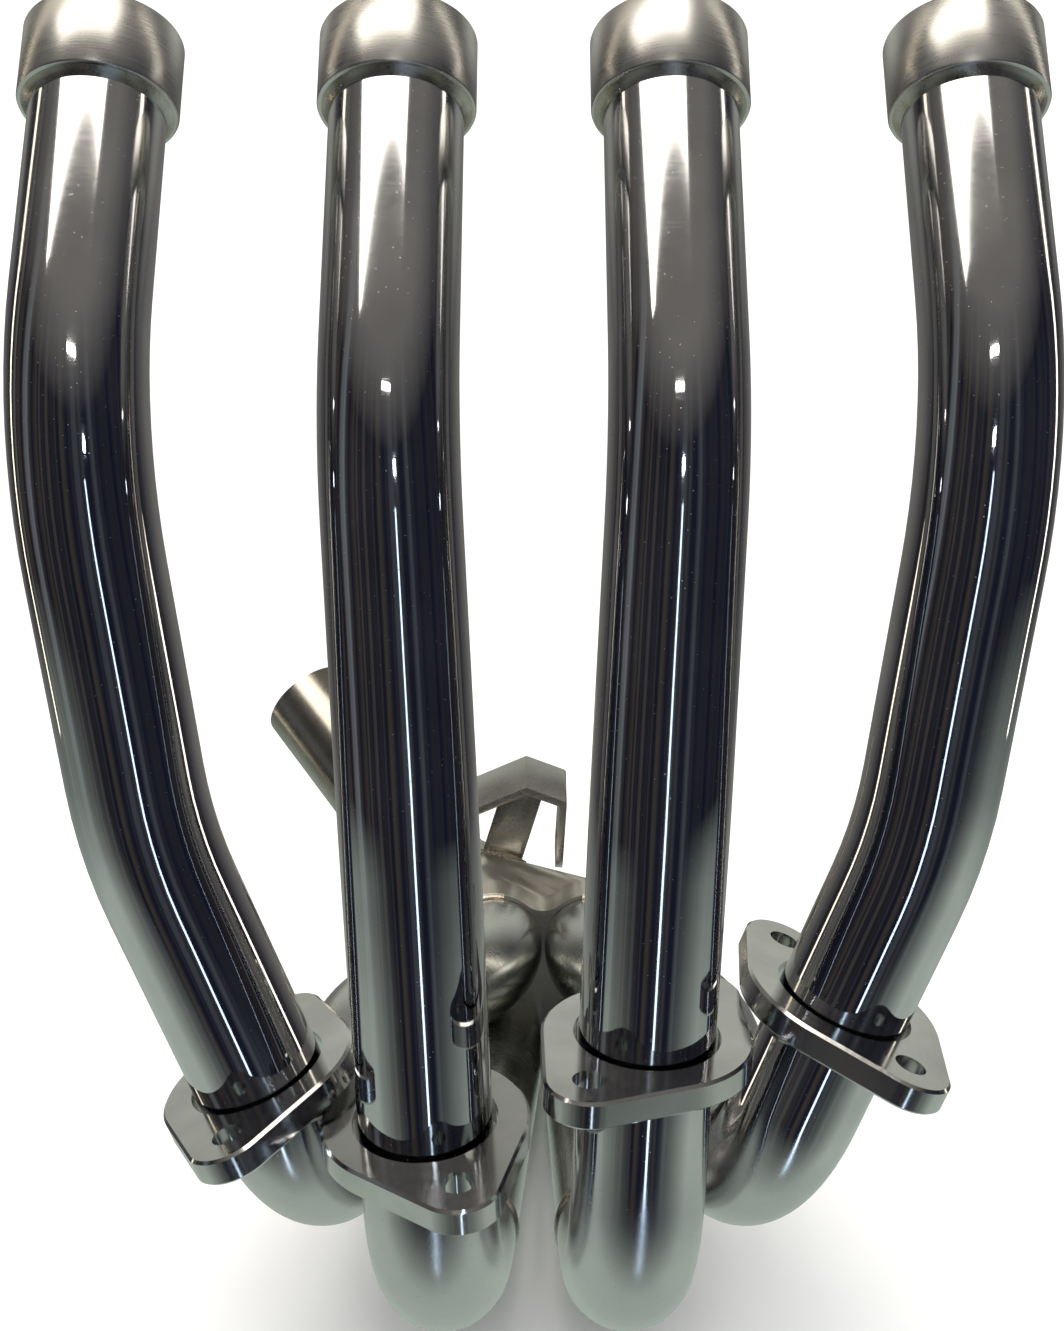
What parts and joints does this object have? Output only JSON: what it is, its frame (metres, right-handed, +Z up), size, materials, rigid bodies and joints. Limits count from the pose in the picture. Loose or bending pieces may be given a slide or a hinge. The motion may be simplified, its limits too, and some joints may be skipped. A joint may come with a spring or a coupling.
{
  "type": "exhaust manifold",
  "caption": "Motorcycle exhaust manifold: polished downpipes with head collars and loose bolt flanges turn back under the engine into one collector, bracket and angled outlet pipe",
  "frame": {"origin": "middle of the port row, in the line of the four collar mouth centres", "axes": "+X across the engine towards pipe 4, +Y backwards towards the outlet, +Z up"},
  "size_m": [0.2904, 0.4211, 0.3963],
  "materials": {
    "polished_tube": "mirror-polished stainless steel tube",
    "satin_collar": "turned and satin-brushed stainless steel",
    "flange_steel": "polished stainless steel plate with bright bevelled edges",
    "satin_collector": "pale satin stainless steel sheet",
    "satin_tail": "satin-polished stainless steel tube",
    "bracket_steel": "satin stainless steel strip",
    "weld": "brushed-over weld bead"
  },
  "bodies": {
    "manifold": {"head_collar_1": "satin_collar", "head_collar_2": "satin_collar", "head_collar_3": "satin_collar", "head_collar_4": "satin_collar", "collar_weld_1": "weld", "collar_weld_2": "weld", "collar_weld_3": "weld", "collar_weld_4": "weld", "downpipe_1": "polished_tube", "downpipe_2": "polished_tube", "downpipe_3": "polished_tube", "downpipe_4": "polished_tube", "leg_weld_1": "weld", "leg_weld_2": "weld", "leg_weld_3": "weld", "leg_weld_4": "weld", "return_leg_1": "polished_tube", "return_leg_2": "polished_tube", "return_leg_3": "polished_tube", "return_leg_4": "polished_tube", "mouth_weld_1": "weld", "mouth_weld_2": "weld", "mouth_weld_3": "weld", "mouth_weld_4": "weld", "collector_shell": "satin_collector", "infill_plate": "satin_collector", "merge_spike": "satin_collector", "tail_pipe": "satin_tail", "outlet_weld": "weld", "bracket_strap": "bracket_steel", "bracket_brace": "bracket_steel", "brace_weld": "weld", "strap_weld": "weld"},
    "flange_1": {"port_flange_1": "flange_steel"},
    "flange_2": {"port_flange_2": "flange_steel"},
    "flange_3": {"port_flange_3": "flange_steel"},
    "flange_4": {"port_flange_4": "flange_steel"}
  },
  "joints": [
    {"name": "flange_1_slide", "type": "slide", "parent": "manifold", "child": "flange_1", "axis": [-0.3447, -0.097, 0.9337], "range_m": [0, 0.06]},
    {"name": "flange_2_turn", "type": "hinge", "parent": "manifold", "child": "flange_2", "pos_m": [-0.03027, -0.07226, -0.30007], "axis": [-0.0375, -0.0291, 0.9989], "range_deg": [-90, 4]},
    {"name": "flange_3_turn", "type": "hinge", "parent": "manifold", "child": "flange_3", "pos_m": [0.03122, -0.073, -0.2746], "axis": [0.0375, -0.0291, 0.9989], "range_deg": [-10, 105]},
    {"name": "flange_4_slide", "type": "slide", "parent": "manifold", "child": "flange_4", "axis": [0.3447, -0.097, 0.9337], "range_m": [0, 0.035]}
  ]
}
